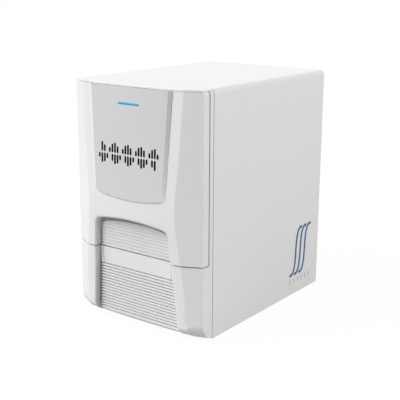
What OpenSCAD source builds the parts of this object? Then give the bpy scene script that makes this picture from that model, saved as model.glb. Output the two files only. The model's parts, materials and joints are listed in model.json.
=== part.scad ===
// Bench-top thermal cycler with a motor-driven plate tray.
// Millimetres, +Z up, front towards -Y, origin on the bench under the middle of the case.

/* [Case] */
// Width of the case
body_w = 260; // [250:1:280]
// Height of the case above its feet
body_h = 400; // [396:1:410]
// Height of the rubber feet
foot_h = 8; // [6:0.5:10]
// Distance from the front seam to the rear edge of the wrap cover
rear_len = 335.5; // [330:0.5:350]
// How far the front bulges past the seam
nose_len = 51.5; // [50:0.5:53]
// Wall thickness of the front mouldings
wall = 3; // [2.5:0.1:3.5]
// Thickness of the wrap cover sheet
sheet = 2.5; // [2:0.1:3]
// Radius along the top side edges
top_r = 9; // [6:0.5:12]

/* [Front form] */
// Radius of the bowed front face
bow_r = 824; // [780:1:880]
// Height of the soft fold across the front, above the feet
fold_h = 205; // [200:1:210]
// Backward lean of the front above the fold
upper_lean = 1.909; // [1.5:0.001:2.2]
// Backward lean of the front below the fold
lower_lean = 2.653; // [2.3:0.001:2.9]
// Distance from the seam to the corner of the side strip
strip_len = 25.8; // [24:0.1:28]
// Radius of the sweep under the front
under_r = 35; // [34:0.5:40]
// Depth of that sweep, from the front backwards
under_len = 31; // [29:0.5:32]
// Rounding between the front and the sweep
edge_r = 8; // [6:0.5:10]
// Rounding under the chamfered corners
leg_r = 31; // [28:0.5:34]
// Height of the parting line between the front covers, above the feet
part_h = 125.5; // [124:0.5:127]
// Width of the parting gap
part_gap = 1.8; // [1.2:0.1:2.4]

/* [Recess and grille] */
// Half width of the arched recess at its shoulder
recess_half = 76; // [74:0.5:78]
// Height of the arch above the feet
recess_top = 184; // [182:0.5:186]
// Depth of the recess behind the ribs
recess_back = 10; // [9:0.5:12]
// Clearance between the recess wall and the ribs
rib_gap = 5; // [4:0.5:6]
// Pitch of the ribs
rib_pitch = 5.45; // [5:0.05:6]
// Pitch of the louvres
slat_pitch = 5.25; // [5:0.05:5.25]
// Count of intake slats
slat_count = 15; // [12:1:15]

/* [Grey panel] */
// Half width of the panel at its lower corners
panel_half = 73.6; // [70:0.1:76]
// Height of the lowest point of the panel above the feet
panel_low = 216; // [214.5:0.5:218]
// Width of the bevel round the panel
panel_bevel = 5; // [4:0.1:8]
// Columns of vent slots
slot_columns = 23; // [15:2:23]
// Pitch of the vent slots
slot_pitch = 5.43; // [5:0.01:5.6]
// Width of one vent slot
slot_w = 3.8; // [2:0.1:4]

/* [Plate tray and block] */
// Length of a standard well plate
plate_l = 127.76; // [127:0.01:128]
// Depth of a standard well plate
plate_w = 85.48; // [85:0.01:86]
// Pitch of the wells
well_pitch = 9; // [9:1:9]
// Half width of the tray front
tray_half = 72; // [71:0.5:72]
// Distance of the block's middle behind the seam
block_y = 32; // [30:0.5:34]

/* [Hidden] */
$fn = 48;

// Main planes of the case
half_w = body_w / 2;
panel_face = -0.3;
panel_rim = 3;
nose_dip = (panel_low + panel_rim - fold_h) * sin(upper_lean) + panel_face;
seam_y = (nose_len - nose_dip - rear_len) / 2;
front_y = seam_y - nose_len;
back_y = seam_y + rear_len;
top_z = foot_h + body_h;
fold_z = foot_h + fold_h;
part_z = foot_h + part_h;
corner_y = seam_y - strip_len;
chamfer_turn = atan(0.5);
leg_drop = 0.4;
strip_seam = 12.5;
upright_len = 9.9;
seam_gap = 1.5;
lip_z = top_z - 3;
cover_high = lip_z - 0.4;
far = 600;

// Plane of the ribs, parallel to the front below the fold
rib_y = seam_y - 27.5;
recess_slope = 0.0907;
recess_shoulder = 164;
arch_r = 365;
arch_corner = 12;
rib_drop = 3;
intake_half = 94;
shell_low = 8;

// Grey panel, in the plane of the front above the fold
panel_slope = 0.0604;
panel_shoulder = 234.5;
panel_r = 300;
panel_corner = 14;
panel_back = 4.4;
seat_t = 2.5;
lamp_h = 370.4;
lamp_half = 21;
slot_row_h = 289.9;
slot_bar = 1.2;
slot_mean = 11.2;
slot_swing = 5;
slot_least = 7;
slot_end = 8;
slot_lobe = 5;
slot_shift = 0.25;

// Plate, block and lift
mid_y = seam_y + block_y;
deck_z = foot_h + 90;
deck_t = 3;
tray_z = deck_z + 8;
tray_t = 12;
tray_low = foot_h + 95.5;
tray_high = foot_h + 124.5;
ledge_z = tray_z + 4;
rail_x = 70.4;
rail_w = 10;
rail_rear = seam_y + 187;
pan_t = 2;
pan_z = foot_h + pan_t;
pan_front = seam_y + 5;
foot_x = 95;
block_l = 112;
block_w = 74;
sink_top = deck_z - 19.6;
block_low = sink_top + 3.6;
block_top = tray_z - 1;
post_x = 76;
post_dy = 22;
frame_z = sink_top - 18;
frame_t = 8;

// Lead screws and their motors
screw_r = 4;
run_fit = 0.05;
motor_w = 28.2;
motor_l = 32;
shaft_r = 2.5;
tray_screw_x = 90;
tray_screw_z = deck_z + 14;
screw_front = seam_y + 12;
lift_screw_x = -92;

// Scanning optics
plate_x = 107;
plate_t = 2;
chassis_front = seam_y - 15;
chassis_rear = seam_y + 208;
shelf_z = foot_h + 226;
rod_z = foot_h + 172;
rod_dy = 32;
scan_w = 41;
scan_start = -70;
pulley_r = 6.35;
belt_x = 88;
belt_y = mid_y + 52;

// Rear panel and its fittings
rear_y = back_y - 3;
rear_t = 2;
fan_z = foot_h + 242;
fan_size = 92;
fan_depth = 25;
port_z = foot_h + 40;
inlet_x = -82;
switch_x = -46;
usb_x = -10;

// Colours
white = [0.93, 0.93, 0.92];
grey = [0.72, 0.73, 0.75];
dark = [0.12, 0.12, 0.13];
steel = [0.68, 0.69, 0.7];
alloy = [0.8, 0.81, 0.82];
brass = [0.78, 0.66, 0.36];
green = [0.1, 0.35, 0.2];

// Point at radius r and angle a from a centre
function polar(c, r, a) = [c[0] + r * cos(a), c[1] + r * sin(a)];

// Centre of the corner circle between a leaning side and a crown arc
function corner_z(k, s, zc, d) =
    let (a = s * s + 1, b = -2 * (k * s + zc), c = k * k + zc * zc - d * d)
    (-b + sqrt(b * b - 4 * a * c)) / (2 * a);

// Outline with leaning sides, round shoulders and an arched top, drawn in by i
function arched(half, shoulder, s, apex, r, rc, foot, i) =
    let (q = sqrt(1 + s * s))
    let (zc = apex - r)
    let (k = half + s * shoulder - rc * q)
    let (cz = corner_z(k, s, zc, r - rc))
    let (c = [k - s * cz, cz])
    let (a0 = atan(s), a1 = atan2(cz - zc, c[0]))
    let (low = [half + s * (shoulder - foot) - i * q, foot])
    let (corner = [for (t = [0 : 8]) polar(c, rc - i, a0 + (a1 - a0) * t / 8)])
    let (crown = [for (t = [1 : 11]) polar([0, zc], r - i, a1 + (180 - 2 * a1) * t / 12)])
    concat([low], corner, crown,
        [for (t = [8 : -1 : 0]) [-corner[t][0], corner[t][1]]], [[-low[0], low[1]]]);

// Length of a vent slot k columns from the middle, in a row whose wave is moved sideways by shift columns
function slot_len(k, shift) =
    abs(k) < (slot_columns - 1) / 2 ? slot_mean + slot_swing * cos(360 * (k - shift) / slot_lobe)
    : k * shift < 0 ? slot_end : 0;

module span(a, b) {
    translate(a) cube(b - a);
}

module both_sides() {
    children();
    mirror([1, 0, 0]) children();
}

// Outline in X and Z, run from y0 to y1
module along_y(y0, y1) {
    translate([0, y1, 0]) rotate([90, 0, 0]) linear_extrude(y1 - y0) children();
}

// Outline in Y and Z, run from x0 to x1
module along_x(x0, x1) {
    translate([x0, 0, 0]) rotate([90, 0, 90]) linear_extrude(x1 - x0) children();
}

module rod_y(r, y0, y1) {
    translate([0, y1, 0]) rotate([90, 0, 0]) cylinder(r = r, h = y1 - y0);
}

module rod_x(r, x0, x1) {
    translate([x0, 0, 0]) rotate([0, 90, 0]) cylinder(r = r, h = x1 - x0);
}

// Quarter plane with its corner rounded
module round_corner(w, h, r) {
    translate([r, 0]) square([w - r, h]);
    translate([0, r]) square([w, h - r]);
    translate([r, r]) circle(r);
}

// Frame of the front face above the fold
module on_fascia() {
    translate([0, front_y, fold_z]) rotate([-upper_lean, 0, 0]) children();
}

// Frame of the ribs, with y measured inwards and z above the feet
module on_ribs() {
    translate([0, rib_y, foot_h]) rotate([lower_lean, 0, 0]) children();
}

// Bowed front surface above the fold and across it
module front_drum(lean, i) {
    translate([0, front_y, fold_z]) rotate([lean, 0, 0]) translate([0, bow_r, -far / 2])
        cylinder(r = bow_r - i, h = far, $fn = 360);
}

// Profile behind the front, with a swept underside, drawn in by i
module swept_corner(i) {
    sweep = [under_len, under_r];
    edge = [edge_r, under_r - sqrt(pow(under_r - edge_r, 2) - pow(under_len - edge_r, 2))];
    meet = atan2(edge[1] - sweep[1], edge[0] - sweep[0]);
    sole = [for (k = [0 : 8]) polar(sweep, under_r - i, -90 + (meet + 90) * k / 8)];
    turn = [for (k = [1 : 6]) polar(edge, edge_r - i, meet - (180 + meet) * k / 6)];
    polygon(concat([[bow_r, i]], sole, turn, [[i, far], [bow_r, far]]));
}

// Bowed front surface below the fold, with the underside
module lower_drum(i) {
    translate([0, front_y, fold_z]) rotate([lower_lean, 0, 0]) translate([0, bow_r, 0])
        rotate_extrude($fn = 360) translate([bow_r, -fold_h]) mirror([1, 0]) swept_corner(i);
}

module chamfer_block(i) {
    translate([half_w, corner_y, foot_h - leg_drop]) rotate([0, 0, chamfer_turn])
        along_x(-far / 2, far / 4) translate([i, i]) round_corner(far, far, leg_r - i);
}

// Outside of the front, drawn in by i
module front_form(i, rear) {
    intersection() {
        span([-half_w + i, front_y - 20, foot_h + i], [half_w - i, rear, top_z]);
        chamfer_block(i);
        mirror([1, 0, 0]) chamfer_block(i);
        front_drum(-upper_lean, i);
        front_drum((lower_lean - upper_lean) / 2, i + 0.6);
        lower_drum(i);
    }
}

// Case outline in X and Z with rounded top edges, drawn in by i
module case_outline(i, low) {
    translate([-half_w + i, low]) square([body_w - 2 * i, top_z - top_r - low]);
    translate([-half_w + top_r, low]) square([body_w - 2 * top_r, top_z - i - low]);
    for (s = [-1, 1])
        translate([s * (half_w - top_r), top_z - top_r]) circle(top_r - i);
}

// Arch of the recess, drawn in by i, its crown lowered by drop
module recess_outline(i, drop = 0) {
    half = recess_half + recess_slope * drop;
    translate([0, foot_h]) polygon(arched(half, recess_shoulder - drop, recess_slope, recess_top - drop,
        arch_r, arch_corner, -30, i));
}

module panel_outline(i, lift) {
    mirror([0, 1]) polygon(arched(panel_half, -panel_shoulder, panel_slope, -panel_low - lift, panel_r,
        panel_corner, -body_h - 20, i));
}

// Space in front of the recess floor
module recess_space(depth, i) {
    intersection() {
        along_y(front_y - 30, seam_y) recess_outline(i);
        on_ribs() span([-far, -far, -far], [far, depth, far]);
    }
}

// Wall and floor of the recess between two heights
module recess_shell(z0, z1) {
    intersection() {
        recess_space(recess_back + wall, -wall);
        front_form(0, seam_y);
        span([-far, -far, z0], [far, far, z1]);
    }
}

module panel_place(y0, y1, i) {
    on_fascia() translate([0, 0, -fold_h]) along_y(y0, y1) panel_outline(i, 0);
}

module fascia_window(x0, x1, z0, z1) {
    on_fascia() span([x0, -10, z0 - fold_h], [x1, 12, z1 - fold_h]);
}

// White case pieces

module wrap_cover() {
    color(white) {
        along_y(seam_y, back_y) difference() {
            case_outline(0, foot_h);
            case_outline(sheet, foot_h - 1);
        }
        intersection() {
            along_y(front_y - 10, seam_y) case_outline(0, foot_h);
            front_form(0, seam_y);
            span([-far, -far, lip_z], [far, far, far]);
        }
    }
}

// Space under the wrap cover's lip, above a height and in front of a plane
module under_lip(low, rear) {
    intersection() {
        along_y(front_y - 30, rear) case_outline(0, 1);
        span([-far, -far, low], [far, far, cover_high]);
    }
}

// Space inside the upper cover, open at the top between its rounded corners
module upper_cavity() {
    rear = seam_y + 40;
    intersection() {
        front_form(wall, rear);
        union() {
            along_y(front_y - 30, rear) case_outline(wall, 1);
            span([-half_w + top_r, front_y - 30, 1], [half_w - top_r, rear, top_z]);
        }
    }
}

module upper_front_cover() {
    low = part_z + part_gap / 2;
    color(white) difference() {
        union() {
            difference() {
                intersection() {
                    front_form(0, seam_y);
                    under_lip(low, seam_y - strip_seam);
                }
                upper_cavity();
            }
            recess_shell(low, part_z + 80);
            intersection() {
                panel_place(0, panel_back + seat_t, -4);
                front_form(0, seam_y);
                under_lip(low, seam_y);
            }
        }
        recess_space(recess_back, 0);
        panel_place(-20, panel_back, -0.2);
        fascia_window(-64, 64, slot_row_h - 20, slot_row_h + 20);
        fascia_window(-lamp_half - 4, lamp_half + 4, lamp_h - 5, lamp_h + 5);
    }
}

module lower_front_cover() {
    high = part_z - part_gap / 2;
    color(white) {
        difference() {
            union() {
                difference() {
                    intersection() {
                        front_form(0, seam_y - seam_gap);
                        span([-far, -far, 0], [far, far, high]);
                    }
                    front_form(wall, seam_y + 40);
                }
                recess_shell(foot_h + shell_low, high);
            }
            recess_space(recess_back, 0);
            on_ribs() span([-intake_half, 7, 18], [intake_half, 30, 92]);
            span([-tray_half - 0.6, -far, tray_low - 1], [tray_half + 0.6, seam_y, part_z + 5]);
        }
        both_sides() {
            tray_cheek(high);
            front_upright();
        }
    }
}

// Strip beside the tray front
module tray_cheek(high) {
    intersection() {
        on_ribs() span([tray_half + 0.8, 0, 80], [tray_half + 5.4, recess_back + 1, 140]);
        span([0, -far, tray_low - 0.3], [far, far, high]);
    }
}

// Narrow upright between the upper cover and the seam
module front_upright() {
    rear = seam_y - seam_gap;
    low = part_z - 20;
    flange = 11;
    intersection() {
        under_lip(low, rear);
        span([half_w - flange, front_y, low], [half_w, rear, top_z]);
        union() {
            along_y(seam_y - upright_len, rear) difference() {
                case_outline(0, low);
                case_outline(wall, low - 1);
            }
            span([half_w - flange, rear - wall, low], [half_w, rear, top_z]);
        }
    }
}

// Ribbed insert at the back of the arch
module rib_panel() {
    low = part_h + part_gap / 2 + 0.6;
    ribs = 12;
    crest = 3.1;
    flank = 0.7;
    deep = 1.5;
    wave = [[0, 0], [0, crest], [deep, crest + flank], [deep, rib_pitch - flank]];
    points = [for (k = [0 : ribs - 1], p = wave) [p[0], low + k * rib_pitch + p[1]]];
    back = [[recess_back, low + ribs * rib_pitch], [recess_back, low]];
    color(white) intersection() {
        along_y(front_y - 30, seam_y) recess_outline(rib_gap, rib_drop);
        on_ribs() along_x(-half_w, half_w) polygon(concat(points, back));
        span([-far, -far, part_z + part_gap / 2], [far, far, far]);
    }
}

// Louvred intake below the tray
module intake_grille() {
    face = 3;
    deep = 8;
    rise = 0.7;
    low = 14.5;
    lip = 3.9;
    first = low + slat_pitch - face;
    bar_w = 3;
    color(white) intersection() {
        along_y(front_y - 30, seam_y) recess_outline(rib_gap);
        on_ribs() {
            difference() {
                for (k = [0 : slat_count - 1])
                    along_x(-half_w, half_w) translate([0, first + k * slat_pitch])
                        polygon([[0, 0], [0, face], [deep, face + rise], [deep, rise]]);
                both_sides() slat_end();
            }
            span([-half_w, 0, low - lip], [half_w, deep, low]);
            for (x = [-60 : 30 : 60])
                span([x - bar_w / 2, deep - 3, low - lip + 1],
                    [x + bar_w / 2, recess_back, low + slat_count * slat_pitch]);
        }
    }
}

// Space behind the ends of the louvres, which are cut back towards the rear
module slat_end() {
    cut = atan(0.7);
    translate([recess_half + recess_slope * recess_shoulder - rib_gap, 0, 0])
        rotate([0, -atan(recess_slope), 0]) rotate([0, 0, cut]) span([0, -far, -far], [far, far, far]);
}

// Grey panel with its bevelled rim and vent slots
module fascia_panel() {
    color(grey) difference() {
        intersection() {
            on_fascia() translate([0, 0, -fold_h]) hull() {
                along_y(3.2, panel_back) panel_outline(0, 0);
                along_y(panel_face, panel_face + 0.2) panel_outline(panel_bevel, panel_rim - panel_bevel);
            }
            span([-far, -far, 0], [far, far, cover_high]);
        }
        vent_slots();
        fascia_window(-lamp_half - 0.2, lamp_half + 0.2, lamp_h - 1.7, lamp_h + 1.7);
    }
}

module vent_slots() {
    last = (slot_columns - 1) / 2;
    on_fascia() for (k = [-last : last]) {
        x = k * slot_pitch;
        up = slot_len(k, -slot_shift);
        down = slot_len(k, slot_shift);
        if (up > slot_least)
            vent_slot(x, slot_row_h + slot_bar, slot_row_h + slot_bar + up);
        if (down > slot_least)
            vent_slot(x, slot_row_h - slot_bar - down, slot_row_h - slot_bar);
    }
}

// Slot with round ends between two heights
module vent_slot(x, z0, z1) {
    r = slot_w / 2;
    translate([x, 0, -fold_h]) along_y(-10, 12) {
        translate([-r, z0 + r]) square([slot_w, z1 - z0 - slot_w]);
        for (z = [z0 + r, z1 - r])
            translate([0, z]) circle(r, $fn = 24);
    }
}

// Dark screen behind the vent slots
module vent_screen() {
    half = 63.5;
    tall = 19.5;
    color(dark) on_fascia() translate([0, 0, slot_row_h - fold_h]) difference() {
        span([-half, panel_back, -tall], [half, panel_back + 1.5, tall]);
        for (k = [-4 : 4])
            span([-half + 3.5, 0, 4 * k - 0.8], [half - 3.5, 10, 4 * k + 0.8]);
    }
}

module light_bar() {
    color([0.1, 0.65, 0.9]) on_fascia() translate([0, 0, lamp_h - fold_h]) {
        span([-lamp_half, -0.7, -1.5], [lamp_half, panel_back + 1, 1.5]);
        span([-lamp_half - 3, panel_back, -4], [lamp_half + 3, panel_back + 2, 4]);
    }
}

module indicator_board() {
    color(green) on_fascia() translate([0, 0, lamp_h - fold_h]) difference() {
        span([-40, panel_back + seat_t, -12], [40, panel_back + seat_t + 1.6, 12]);
        for (x = [-36, 36])
            translate([x, 0, 0]) rod_y(1.6, 0, 20);
    }
}

module base_pan() {
    half = half_w - sheet - 0.5;
    rear = rear_y - rear_t;
    color(steel) difference() {
        union() {
            span([-half, pan_front, foot_h], [half, rear, pan_z]);
            both_sides() span([half - pan_t, pan_front, foot_h], [half, rear, pan_z + 22]);
            span([-half, rear - pan_t, foot_h], [half, rear, pan_z + 12]);
        }
        for (k = [-5 : 5])
            span([-45, mid_y + 60 + k * 7 - 1.5, foot_h - 1], [45, mid_y + 60 + k * 7 + 1.5, pan_z + 1]);
        screw_places() rod_y(1.7, -10, 10);
    }
}

module feet() {
    color(dark) for (x = [-foot_x, foot_x], y = [seam_y + 46, back_y - 28.5])
        translate([x, y, 0]) rotate_extrude()
            polygon([[0, 0], [10.5, 0], [12, 1.5], [11, foot_h], [0, foot_h]]);
}

module rear_panel() {
    color(white) difference() {
        along_y(rear_y - rear_t, rear_y) case_outline(sheet + 0.3, foot_h);
        translate([0, 0, fan_z]) rod_y(fan_size / 2 - 2, rear_y - 10, rear_y + 10);
        fan_holes(fan_size, fan_z, 2.2, rear_y - 10, rear_y + 10);
        inlet_cut(0.2, rear_y - 10, rear_y + 10);
        span([switch_x - 7, rear_y - 10, port_z - 11], [switch_x + 7, rear_y + 10, port_z + 11]);
        span([usb_x - 6.2, rear_y - 10, port_z - 5.9], [usb_x + 6.2, rear_y + 10, port_z + 5.9]);
        for (x = [30, 70], z = [port_z - 18 : 7 : port_z + 31])
            span([x, rear_y - 10, z], [x + 34, rear_y + 10, z + 3]);
        screw_places() rod_y(1.7, -10, 10);
    }
}

module screw_places() {
    for (x = [-118, 118], z = [pan_z + 8, foot_h + 140, foot_h + 270, top_z - 14])
        translate([x, rear_y, z]) children();
}

module case_screws() {
    color(steel) screw_places() {
        rod_y(1.5, -8, 0.5);
        translate([0, 2, 0]) rotate([90, 0, 0]) cylinder(r1 = 2.2, r2 = 3, h = 2);
    }
}

module fan_holes(size, z, r, y0, y1) {
    for (x = [-1, 1], k = [-1, 1])
        translate([x * size * 0.448, 0, z + k * size * 0.448]) rod_y(r, y0, y1);
}

// Square frame of an axial fan, centred on the Y axis, from y = 0 back to y = depth
module fan_frame(size, depth) {
    difference() {
        along_y(0, depth) square(size, center = true);
        rod_y(size / 2 - 2, -1, depth + 1);
        fan_holes(size, 0, 2.2, -1, depth + 1);
    }
    along_y(0, 3) difference() {
        union() {
            circle(size * 0.19);
            for (a = [45, 135])
                rotate(a) square([size + 6, 4], center = true);
        }
        circle(2.5 + run_fit);
    }
}

// Rotor with its hub and pitched blades, in the same place
module fan_rotor(size, depth, blades) {
    hub = size * 0.19;
    rod_y(2.5, 0.5, 6);
    rod_y(hub, 4, depth - 2);
    intersection() {
        difference() {
            rod_y(size / 2 - 3.5, 4.5, depth - 2.5);
            rod_y(hub - 1, 0, depth);
        }
        for (k = [0 : blades - 1])
            rotate([0, k * 360 / blades, 0]) translate([0, depth / 2, 0]) rotate([0, 0, 40])
                span([-depth, -0.9, hub - 1.5], [depth, 0.9, size / 2]);
    }
}

module rear_fan_frame() {
    color(dark) translate([0, rear_y - rear_t - fan_depth, fan_z]) fan_frame(fan_size, fan_depth);
}

module rear_fan_rotor() {
    color(dark) translate([0, rear_y - rear_t - fan_depth, fan_z]) fan_rotor(fan_size, fan_depth, 7);
}

// Wire guard over the fan opening
module fan_guard() {
    wire = 1.0;
    color(steel) translate([0, rear_y + wire, fan_z]) {
        for (r = [12 : 8 : 44])
            rotate([90, 0, 0]) rotate_extrude() translate([r, 0]) circle(wire, $fn = 16);
        for (a = [45, 135])
            rotate([0, a, 0]) rod_x(wire * 0.9, -58, 58);
        for (x = [-1, 1], k = [-1, 1])
            translate([x * fan_size * 0.448, -wire, k * fan_size * 0.448]) rod_y(4, 0, 2 * wire);
    }
}

// Outline of the mains inlet, cut through by y0 to y1
module inlet_cut(i, y0, y1) {
    translate([inlet_x, 0, port_z]) along_y(y0, y1)
        polygon([[-13.8 - i, -10 - i], [13.8 + i, -10 - i], [13.8 + i, 5 + i], [8.8 + i, 10 + i],
            [-8.8 - i, 10 + i], [-13.8 - i, 5 + i]]);
}

module power_inlet() {
    color(dark) {
        difference() {
            union() {
                inlet_cut(0, rear_y - 20, rear_y + 1);
                span([inlet_x - 17, rear_y, port_z - 12.5], [inlet_x + 17, rear_y + 2, port_z + 12.5]);
            }
            inlet_cut(-1.6, rear_y - 16, rear_y + 5);
        }
        for (p = [[-7, -2], [7, -2], [0, 3]])
            translate([inlet_x + p[0], rear_y, port_z + p[1]]) span([-1, -17, -2], [1, -5, 2]);
    }
}

module usb_port() {
    color(steel) difference() {
        span([usb_x - 6, rear_y - 16, port_z - 5.7], [usb_x + 6, rear_y + 0.8, port_z + 5.7]);
        span([usb_x - 4.5, rear_y - 6, port_z - 4.1], [usb_x + 4.5, rear_y + 5, port_z + 4.1]);
        difference() {
            span([usb_x - 4.5, rear_y - 12, port_z - 4.1], [usb_x + 4.5, rear_y - 5, port_z + 4.1]);
            span([usb_x - 2.8, rear_y - 13, port_z - 1.6], [usb_x + 2.8, rear_y - 4, port_z + 1.6]);
        }
    }
}

module switch_frame() {
    color(dark) translate([switch_x, rear_y, port_z]) difference() {
        union() {
            span([-6.8, -14, -10.8], [6.8, 0.5, 10.8]);
            span([-8, 0, -12.5], [8, 1.6, 12.5]);
        }
        span([-5.6, -11, -9.8], [5.6, 5, 9.8]);
        translate([0, -3.5, 0]) rod_x(1.05, -6.5, 6.5);
    }
}

module power_rocker() {
    color([0.75, 0.1, 0.08]) translate([switch_x, rear_y - 3.5, port_z]) {
        rod_x(1, -6.3, 6.3);
        rotate([-9, 0, 0]) along_x(-5.2, 5.2)
            polygon([[3.5, 8.6], [2.3, 0], [3.5, -8.6], [-4, -5], [-4, 5]]);
    }
}

// Chassis and drives

module side_plate() {
    difference() {
        union() {
            span([plate_x, pan_front, pan_z], [plate_x + plate_t, chassis_rear, shelf_z]);
            span([plate_x, pan_front, pan_z], [plate_x + 12, chassis_rear, pan_z + plate_t]);
        }
        for (y = [seam_y + 20 : 38 : seam_y + 172])
            span([plate_x - 5, y, foot_h + 20], [plate_x + 5, y + 24, foot_h + 76]);
        for (y = [-rod_dy, rod_dy])
            translate([0, mid_y + y, rod_z]) rod_x(screw_r + 0.1, plate_x - 5, plate_x + 5);
    }
}

module side_plate_left() {
    color(steel) mirror([1, 0, 0]) side_plate();
}

module side_plate_right() {
    tab_y = chassis_rear - 2;
    color(steel) {
        side_plate();
        difference() {
            translate([0, tab_y, tray_screw_z]) span([tray_screw_x - 18, 0, -17], [plate_x + 1, 2, 17]);
            translate([tray_screw_x, tab_y, tray_screw_z]) rod_y(9, -5, 5);
        }
    }
}

module block_deck() {
    color(steel) difference() {
        span([-plate_x, chassis_front, deck_z], [plate_x, seam_y + 192, deck_z + deck_t]);
        span([-60, mid_y - 41, deck_z - 5], [60, mid_y + 41, deck_z + 9]);
        span([-45, mid_y + 47, deck_z - 5], [45, seam_y + 180, deck_z + 9]);
        translate([lift_screw_x, mid_y, deck_z - 1]) cylinder(r = 7.1, h = 9);
    }
}

module guide_posts() {
    color(alloy) for (x = [-post_x, post_x], y = [-post_dy, post_dy])
        translate([x, mid_y + y, pan_z]) cylinder(r = screw_r, h = deck_z - pan_z);
}

module tray_rails() {
    color(alloy) both_sides() difference() {
        span([rail_x, chassis_front, deck_z + deck_t], [rail_x + rail_w, rail_rear, tray_z + tray_t]);
        span([rail_x - 1, chassis_front - 1, ledge_z - 0.3], [rail_x + 2, rail_rear + 1, ledge_z + 4.3]);
    }
}

// Stepper motor along Z with its face at z = 0 and its body below
module stepper() {
    cap = motor_w / 2 - 0.7;
    difference() {
        union() {
            translate([0, 0, -motor_l / 2]) cube([motor_w, motor_w, motor_l - 12], center = true);
            for (z = [-motor_l, -6])
                span([-cap, -cap, z], [cap, cap, z + 6]);
            cylinder(r = 8.8, h = 1.8);
        }
        translate([0, 0, -12]) cylinder(r = shaft_r + run_fit, h = 20);
    }
}

module tray_motor() {
    color(dark) translate([tray_screw_x, chassis_rear, tray_screw_z]) rotate([90, 0, 0]) stepper();
}

module tray_screw() {
    color(steel) translate([tray_screw_x, 0, tray_screw_z]) rod_y(screw_r, screw_front - 1, seam_y + 194);
}

module screw_coupling() {
    color(alloy) translate([tray_screw_x, 0, tray_screw_z]) {
        difference() {
            rod_y(8, seam_y + 184, seam_y + 204);
            rod_y(screw_r + run_fit, seam_y + 180, seam_y + 194.5);
        }
        rod_y(shaft_r, seam_y + 204, seam_y + 216);
    }
}

module screw_bearing() {
    color(alloy) difference() {
        translate([tray_screw_x, screw_front, 0])
            span([-7, 0, deck_z + deck_t], [7, 8, tray_screw_z + 8]);
        translate([tray_screw_x, screw_front, tray_screw_z]) rod_y(screw_r + run_fit, -10, 30);
    }
}

module lift_motor() {
    color(dark) translate([lift_screw_x, mid_y, pan_z + motor_l]) stepper();
}

module lift_screw() {
    color(steel) translate([lift_screw_x, mid_y, pan_z + motor_l]) {
        translate([0, 0, 3]) cylinder(r = screw_r, h = deck_z + 8 - pan_z - motor_l - 3);
        translate([0, 0, -9]) cylinder(r = shaft_r, h = 12.5);
    }
}

module lift_bush() {
    color(brass) translate([lift_screw_x, mid_y, deck_z]) difference() {
        union() {
            cylinder(r = 7, h = deck_t);
            translate([0, 0, deck_t]) cylinder(r = 10, h = 3);
        }
        translate([0, 0, -1]) cylinder(r = screw_r + run_fit, h = 12);
    }
}

// Heated lid over the plate

module well_grid() {
    for (c = [0 : 11], r = [0 : 7])
        translate([(c - 5.5) * well_pitch, mid_y + (r - 3.5) * well_pitch, 0]) children();
}

module lid_platen() {
    low = ledge_z + 19;
    color(alloy) difference() {
        span([-60, mid_y - 41, low], [60, mid_y + 41, low + 8]);
        well_grid() translate([0, 0, low - 1]) cylinder(r = 2.75, h = 10, $fn = 24);
    }
}

module lid_heater() {
    low = ledge_z + 27;
    color([0.75, 0.4, 0.12]) difference() {
        span([-58, mid_y - 39, low], [58, mid_y + 39, low + 1.5]);
        well_grid() translate([0, 0, low - 1]) cylinder(r = 3, h = 5, $fn = 24);
    }
}

module lid_frame() {
    low = ledge_z + 28.5;
    color(dark) difference() {
        span([-plate_x, mid_y - 46, low], [plate_x, mid_y + 46, low + 7]);
        span([-53, mid_y - 35, low - 1], [53, mid_y + 35, low + 9]);
    }
}

// Scanning optics above the lid

module scan_rods() {
    color(steel) for (y = [-rod_dy, rod_dy])
        translate([0, mid_y + y, rod_z]) rod_x(screw_r, -plate_x - plate_t, plate_x + plate_t);
}

module scan_carriage() {
    clamp_y = belt_y - pulley_r - 1.1;
    color(dark) difference() {
        union() {
            span([scan_start, mid_y - 42, rod_z - 14], [scan_start + scan_w, mid_y + 40, rod_z + 14]);
            span([scan_start + 10, mid_y + 39, rod_z - 7], [scan_start + 30, clamp_y + 3.5, rod_z + 7]);
        }
        for (y = [-rod_dy, rod_dy])
            translate([scan_start, mid_y + y, rod_z]) rod_x(screw_r + run_fit, -5, scan_w + 5);
        span([scan_start, clamp_y - 1.1, rod_z - 3.4], [scan_start + scan_w, clamp_y + 1.1, rod_z + 3.4]);
        span([scan_start + 6, mid_y - 24, rod_z - 8], [scan_start + scan_w - 6, mid_y + 24, rod_z + 15]);
    }
}

module lens_tubes() {
    color(steel) for (r = [0 : 7])
        translate([scan_start + scan_w / 2, mid_y + (r - 3.5) * well_pitch, rod_z - 24]) difference() {
            cylinder(r = 4, h = 10);
            translate([0, 0, -1]) cylinder(r = 2.8, h = 9);
        }
}

module scan_brackets() {
    color(steel) both_sides() difference() {
        span([belt_x - 18, belt_y - 16, rod_z + 8], [plate_x, belt_y + 16, rod_z + 11]);
        translate([belt_x, belt_y, rod_z]) cylinder(r = 9.2, h = 20);
    }
    color(steel) translate([-belt_x, belt_y, rod_z]) {
        translate([0, 0, 8]) cylinder(r = 9, h = 3);
        translate([0, 0, -6]) cylinder(r = shaft_r, h = 15);
    }
}

module scan_motor() {
    color(dark) translate([belt_x, belt_y, rod_z + 11]) mirror([0, 0, 1]) stepper();
}

// Toothless belt loop round both pulleys
module belt_loop(r) {
    square([2 * belt_x, 2 * r], center = true);
    for (x = [-belt_x, belt_x])
        translate([x, 0]) circle(r);
}

module scan_belt() {
    color(dark) translate([0, belt_y, rod_z - 3]) linear_extrude(6) difference() {
        belt_loop(pulley_r + 1.8);
        belt_loop(pulley_r + 0.4);
    }
}

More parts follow.
